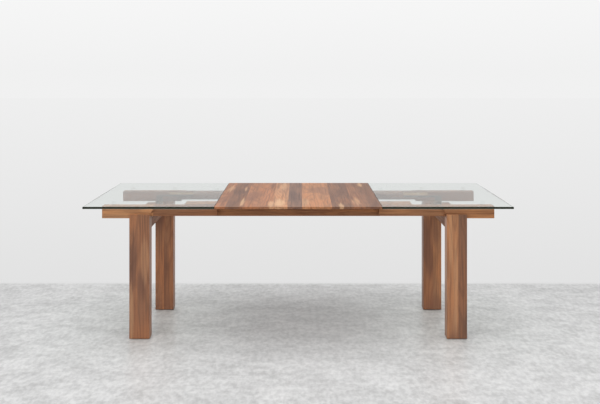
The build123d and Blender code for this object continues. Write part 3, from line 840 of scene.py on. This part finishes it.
def screw_shank(tree, radius, length, free):
    """The shank and its thread, as two shapes; free is the length below the head."""
    stem = frustum(tree, SHANK_SIDES, radius * SHANK_TOP, radius * SHANK_TIP, free)
    spiral = tree.node("GeometryNodeCurveSpiral", inputs={
        "Resolution": THREAD_STEPS, "Rotations": THREAD_TURNS,
        "Start Radius": radius * THREAD_TIP, "End Radius": radius * THREAD_TOP,
        "Height": free * THREAD_LENGTH,
    })
    section = tree.node("GeometryNodeCurvePrimitiveCircle", inputs={
        "Resolution": 4, "Radius": radius * THREAD_RIDGE,
    })
    ridge = tree.node("GeometryNodeCurveToMesh", inputs={
        "Curve": spiral, "Profile Curve": section, "Fill Caps": True,
    })
    return lowered(tree, stem, length), lowered(tree, ridge, length * THREAD_START)


print("a screw's sizes:", SCREW_SIZES)

# %% Grow the screw tree
def screw_tree():
    block = bpy.data.node_groups.new("screws", "GeometryNodeTree")
    sockets = block.interface
    sockets.new_socket("Geometry", in_out="INPUT", socket_type="NodeSocketGeometry")
    for name, size in SCREW_SIZES.items():
        given = sockets.new_socket(name, in_out="INPUT", socket_type="NodeSocketFloat")
        given.default_value = size
    sockets.new_socket("Material", in_out="INPUT", socket_type="NodeSocketMaterial")
    sockets.new_socket("Geometry", in_out="OUTPUT", socket_type="NodeSocketGeometry")

    tree = Tree(block)
    points = tree.node("NodeGroupInput", out="Geometry")
    radius, height, shank, length, material = (
        tree.other_output(points, name) for name in (*SCREW_SIZES, "Material")
    )
    head = screw_head(tree, radius, height)
    stem, thread = screw_shank(tree, shank, length, length - height)
    screw = tree.node("GeometryNodeJoinGeometry", inputs={0: [head, stem, thread]})

    facing = tree.node(
        "GeometryNodeInputNamedAttribute", {"data_type": "FLOAT_VECTOR"}, {"Name": "facing"}
    )
    turned = tree.node("FunctionNodeAlignRotationToVector", {"axis": "Z"}, {"Vector": facing})
    placed = tree.node("GeometryNodeInstanceOnPoints", inputs={
        "Points": points, "Instance": screw, "Rotation": turned,
    })
    solid = tree.node("GeometryNodeRealizeInstances", inputs={"Geometry": placed})
    finished = tree.node("GeometryNodeSetMaterial", inputs={
        "Geometry": solid, "Material": material,
    })
    result = block.nodes.new("NodeGroupOutput")
    tree.feed(result.inputs["Geometry"], finished)
    return block


screws = screw_tree()
print("screw tree:", len(screws.nodes), "nodes")

# %% [markdown]
# Each group of screws rides on one body, so each becomes one mesh. Its seats go on a carrier
# as points with an attribute, the tree grows the screws from them, and the carrier is removed
# once the result has been taken as plain mesh.

# %% Seat the screws
def seat_screws(name, body, found):
    """One plain mesh of all the screws of a group, riding on its body."""
    places, ways, lengths = zip(*found)
    points = bpy.data.meshes.new(name + "_seats")
    points.from_pydata(places, [], [])
    facing = points.attributes.new("facing", "FLOAT_VECTOR", "POINT")
    facing.data.foreach_set("vector", [v for way in ways for v in way])
    carrier = bpy.data.objects.new(name + "_seats", points)
    bpy.context.scene.collection.objects.link(carrier)
    grow = carrier.modifiers.new("screws", "NODES")
    grow.node_group = screws
    sockets = [item for item in screws.interface.items_tree if item.in_out == "INPUT"]
    inputs = {item.name: item.identifier for item in sockets}
    grow[inputs["Length"]] = lengths[0]
    grow[inputs["Material"]] = steel_finish
    grown = carrier.evaluated_get(bpy.context.evaluated_depsgraph_get())
    mesh = bpy.data.meshes.new_from_object(grown)
    bpy.data.objects.remove(carrier)
    piece = bpy.data.objects.new(name + "_detailed", mesh)
    bpy.context.scene.collection.objects.link(piece)
    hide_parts(name)
    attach(piece, body)
    return piece


for name, (way, body) in screw_groups.items():
    piece = seat_screws(name, body, seats[name])
    print(piece.name, "faces", len(piece.data.polygons))

# %% [markdown]
# ## A quiet studio
# The floor is pale concrete, and a little way behind the table it gives over to a painted wall.
# A separate wall would hide the table in views from behind, so one large floor does both jobs:
# beyond the line it shows the eye a glowing wall with painted light and shade, darker where it
# meets the floor and lighter farther off, and light still meets concrete there. From below one
# looks through it at the table's underside.

# %% Lay the floor
FLOOR_HALF = 40.0
FLOOR_TONE = 0.566
FLOOR_LIGHT = FLOOR_TONE * 1.28
FLOOR_DARK = FLOOR_TONE * 0.72
FLOOR_ROUGH = 0.29
FLOOR_ROUGH_SPREAD = 0.14
MOTTLING = {                 # waves in a metre in x and y, level, detail, roughness, share
    "clouds": (1.6, 2.6, 0.0, 4.0, 0.6, 0.20),
    "patches": (6.0, 9.0, 5.0, 3.0, 0.6, 0.35),
    "speckle": (38.0, 22.0, 3.0, 3.0, 0.65, 0.45),
}
MOTTLE_EDGE = (0.32, 0.68)
WALL_LINE_Y = 0.87
WALL_BLUR = (-0.02, 0.06)    # the floor gives over to the wall between these, from the line
WALL_NEAR = 0.760            # painted shade: the wall's glow where it meets the floor, darker than far off
WALL_FAR = 0.877             # and far off, where the sky takes over from the floor
WALL_FADE = 5.0              # how gently it gets there, in metres


def concrete_finish(ground, place):
    """Grey with clouds, patches and speckle; the clouds are duller as well as lighter."""
    layers, lightness = {}, 0.0
    for kind, (wide, deep, level, detail, rough, share) in MOTTLING.items():
        layers[kind] = ground.noise(place["X"] * wide, place["Y"] * deep, level, detail, rough)
        lightness = lightness + ground.ease(layers[kind], *MOTTLE_EDGE) * share
    tone = ground.blend(
        lightness,
        colour(FLOOR_DARK, FLOOR_DARK, FLOOR_DARK),
        colour(FLOOR_LIGHT, FLOOR_LIGHT, FLOOR_LIGHT),
    )
    roughness = layers["clouds"] * FLOOR_ROUGH_SPREAD + FLOOR_ROUGH
    return ground.surface(Base_Color=tone, Roughness=roughness)


def floor_finish():
    ground = new_finish("studio_floor")
    place = ground.place()
    concrete = concrete_finish(ground, place)
    # Painted light and shade: the wall's glow is darkest at the line and brightens farther off.
    fade = WALL_FADE / (ground.maths("MAXIMUM", place["Y"], 0.0) + WALL_FADE)
    glow = WALL_FAR - fade * ((WALL_FAR - WALL_NEAR) * (WALL_LINE_Y + WALL_FADE) / WALL_FADE)
    wall = ground.node("ShaderNodeEmission", inputs={0: ground.vector(glow, glow, glow)})
    beyond = ground.ease(place["Y"], WALL_LINE_Y + WALL_BLUR[0], WALL_LINE_Y + WALL_BLUR[1])
    above = ground.mix(beyond * ground.seen(), concrete, wall)
    below = ground.node("ShaderNodeNewGeometry", out="Backfacing")
    return ground.done(ground.mix(below, above, ground.node("ShaderNodeBsdfTransparent")))


floor_mesh = bpy.data.meshes.new("floor")
corners = [(x * FLOOR_HALF, y * FLOOR_HALF, 0.0) for x, y in ((-1, -1), (1, -1), (1, 1), (-1, 1))]
floor_mesh.from_pydata(corners, [], [(0, 1, 2, 3)])
floor_mesh.materials.append(floor_finish())
floor = bpy.data.objects.new("floor", floor_mesh)
bpy.context.scene.collection.objects.link(floor)
print("floor laid; wall tone from y =", WALL_LINE_Y)

# %% [markdown]
# Soft light comes from the world all round, from one large lamp overhead and from two in
# front. What the eye sees of the world is a wall with painted light, brighter higher up, which
# is another matter than the light that it gives. Gloss sees a somewhat darker room, or every
# edge would turn white.

# %% Light the table
WORLD_LIGHT = 0.62
SKY_RISE = 0.55              # painted light: how fast the seen wall brightens with height
SKY_MOST = 0.93
MIRRORED_TONE = 0.72         # what gloss sees of the studio
LAMP_AIM = Vector((0.0, 0.0, 0.5))
LAMPS = {                    # place, width in metres, watts
    "overhead": ((0.1, -0.35, 4.2), 3.6, 96.0),
    "key": ((-3.0, -4.6, 3.4), 5.0, 92.0),
    "fill": ((3.4, -4.4, 3.4), 5.0, 54.0),
}


def sky_finish():
    """A plain light all round; the eye, gloss and glass see a wall with painted light instead,
    brighter higher up.
    """
    sky = Finish(bpy.data.worlds.new("studio"), "ShaderNodeOutputWorld")
    facing = sky.node("ShaderNodeTexCoord", out="Generated")
    height = sky.other_output(sky.node("ShaderNodeSeparateXYZ", inputs={0: facing}), "Z")
    # Painted light on the seen wall: it brightens with height from WALL_FAR up to SKY_MOST.
    rise = sky.maths("MAXIMUM", height, 0.0) * SKY_RISE
    tone = sky.maths("MINIMUM", rise + WALL_FAR, SKY_MOST)
    gloss = sky.node("ShaderNodeLightPath", out="Is Glossy Ray")
    tone = tone * (1.0 - gloss) + gloss * MIRRORED_TONE
    light = sky.node("ShaderNodeBackground", inputs={0: colour(1.0, 1.0, 1.0), 1: WORLD_LIGHT})
    wall = sky.node("ShaderNodeBackground", inputs={0: sky.vector(tone, tone, tone)})
    return sky.done(sky.mix(sky.seen(), light, wall))


bpy.context.scene.world = sky_finish()

for name, (place, size, watts) in LAMPS.items():
    lamp_data = bpy.data.lights.new(name, "AREA")
    lamp_data.shape = "DISK"
    lamp_data.size = size
    lamp_data.energy = watts
    lamp = bpy.data.objects.new(name, lamp_data)
    lamp.location = place
    lamp.rotation_euler = (LAMP_AIM - Vector(place)).to_track_quat("-Z", "Y").to_euler()
    bpy.context.scene.collection.objects.link(lamp)
bpy.context.scene.view_settings.view_transform = "Standard"
print("lamps:", sorted(LAMPS))
